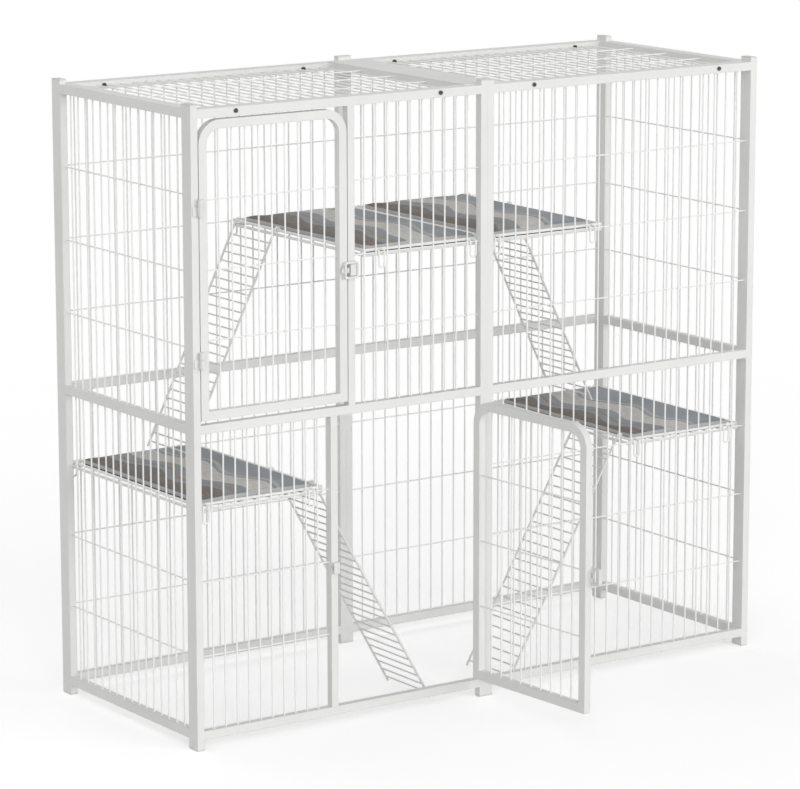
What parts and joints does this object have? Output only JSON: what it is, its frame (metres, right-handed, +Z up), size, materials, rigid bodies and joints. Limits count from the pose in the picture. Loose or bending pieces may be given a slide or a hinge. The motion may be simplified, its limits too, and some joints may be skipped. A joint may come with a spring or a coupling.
{
  "type": "cat cage",
  "caption": "Wide two-storey white wire cat cage with a grille roof, front wire doors, hooked shelves with dark mats and wire ramps.",
  "frame": {"origin": "on the floor under the front centre foot, in the middle plane of the front panels", "axes": "+X to the right along the front, +Y from the front to the rear, +Z up"},
  "size_m": [1.4, 0.9075, 1.28],
  "materials": {
    "white_tube": "white powder coat, satin",
    "white_wire": "white powder coat over welded wire, satin",
    "white_plate": "white powder coat on sheet and fittings, satin",
    "white_plug": "white moulded plastic, matt",
    "black_bolt": "blackened steel, satin",
    "mat_cloth": "dark slate cloth printed with pale bands"
  },
  "bodies": {
    "cage": {"front_left_lower_grille": "white_wire", "front_left_panel_frame": "white_tube", "front_left_upper_grille": "white_wire", "front_right_lower_grille": "white_wire", "front_right_panel_frame": "white_tube", "front_right_upper_grille": "white_wire", "left_side_lower_grille": "white_wire", "left_side_panel_frame": "white_tube", "left_side_upper_grille": "white_wire", "lower_door_hinge_sleeves": "white_plate", "lower_door_latch_keeper": "white_plate", "lower_left_shelf_frame": "white_wire", "lower_left_shelf_hooks": "white_wire", "lower_left_shelf_mat": "mat_cloth", "lower_right_shelf_frame": "white_wire", "lower_right_shelf_hooks": "white_wire", "lower_right_shelf_mat": "mat_cloth", "post_caps": "white_plug", "post_feet": "white_plug", "rear_left_lower_grille": "white_wire", "rear_left_panel_frame": "white_tube", "rear_left_upper_grille": "white_wire", "rear_right_lower_grille": "white_wire", "rear_right_panel_frame": "white_tube", "rear_right_upper_grille": "white_wire", "right_side_lower_grille": "white_wire", "right_side_panel_frame": "white_tube", "right_side_upper_grille": "white_wire", "roof_bolts": "black_bolt", "roof_centre_strip": "white_plate", "roof_left_frame": "white_tube", "roof_left_grille": "white_wire", "roof_nuts": "black_bolt", "roof_right_frame": "white_tube", "roof_right_grille": "white_wire", "upper_door_hinge_sleeves": "white_plate", "upper_door_latch_keeper": "white_plate", "upper_left_shelf_frame": "white_wire", "upper_left_shelf_hooks": "white_wire", "upper_left_shelf_mat": "mat_cloth", "upper_right_shelf_frame": "white_wire", "upper_right_shelf_hooks": "white_wire", "upper_right_shelf_mat": "mat_cloth"},
    "upper_door": {"upper_door_frame": "white_tube", "upper_door_grille": "white_wire", "upper_door_hinge_pins": "white_plate", "upper_door_latch_ring": "white_plate"},
    "upper_door_latch": {"upper_door_latch_bolt": "white_plate"},
    "lower_door": {"lower_door_frame": "white_tube", "lower_door_grille": "white_wire", "lower_door_hinge_pins": "white_plate", "lower_door_latch_ring": "white_plate"},
    "lower_door_latch": {"lower_door_latch_bolt": "white_plate"},
    "upper_left_ramp": {"upper_left_ramp": "white_wire"},
    "upper_right_ramp": {"upper_right_ramp": "white_wire"},
    "lower_left_ramp": {"lower_left_ramp": "white_wire"},
    "lower_right_ramp": {"lower_right_ramp": "white_wire"}
  },
  "joints": [
    {"name": "upper_door_hinge", "type": "hinge", "parent": "cage", "child": "upper_door", "pos_m": [-0.683, -0.0145, 0.95], "axis": [0, 0, -1], "range_deg": [0, 120]},
    {"name": "upper_door_latch_slide", "type": "slide", "parent": "upper_door", "child": "upper_door_latch", "axis": [1, 0, 0], "range_m": [0, 0.0065]},
    {"name": "lower_door_hinge", "type": "hinge", "parent": "cage", "child": "lower_door", "pos_m": [-0.017, -0.0145, 0.34], "axis": [0, 0, 1], "range_deg": [-94, 26]},
    {"name": "lower_door_latch_slide", "type": "slide", "parent": "lower_door", "child": "lower_door_latch", "axis": [0.0698, -0.9976, 0], "range_m": [0, 0.0065]},
    {"name": "upper_left_ramp_lift", "type": "hinge", "parent": "cage", "child": "upper_left_ramp", "pos_m": [-0.283, 0.41, 0.9566], "axis": [0, 1, 0], "range_deg": [0, 15]},
    {"name": "upper_right_ramp_lift", "type": "hinge", "parent": "cage", "child": "upper_right_ramp", "pos_m": [0.307, 0.41, 0.9566], "axis": [0, -1, 0], "range_deg": [0, 15]},
    {"name": "lower_left_ramp_lift", "type": "hinge", "parent": "cage", "child": "lower_left_ramp", "pos_m": [-0.39, 0.126, 0.49035], "axis": [0, -1, 0], "range_deg": [0, 10]},
    {"name": "lower_right_ramp_lift", "type": "hinge", "parent": "cage", "child": "lower_right_ramp", "pos_m": [0.39, 0.126, 0.49035], "axis": [0, 1, 0], "range_deg": [0, 10]}
  ]
}
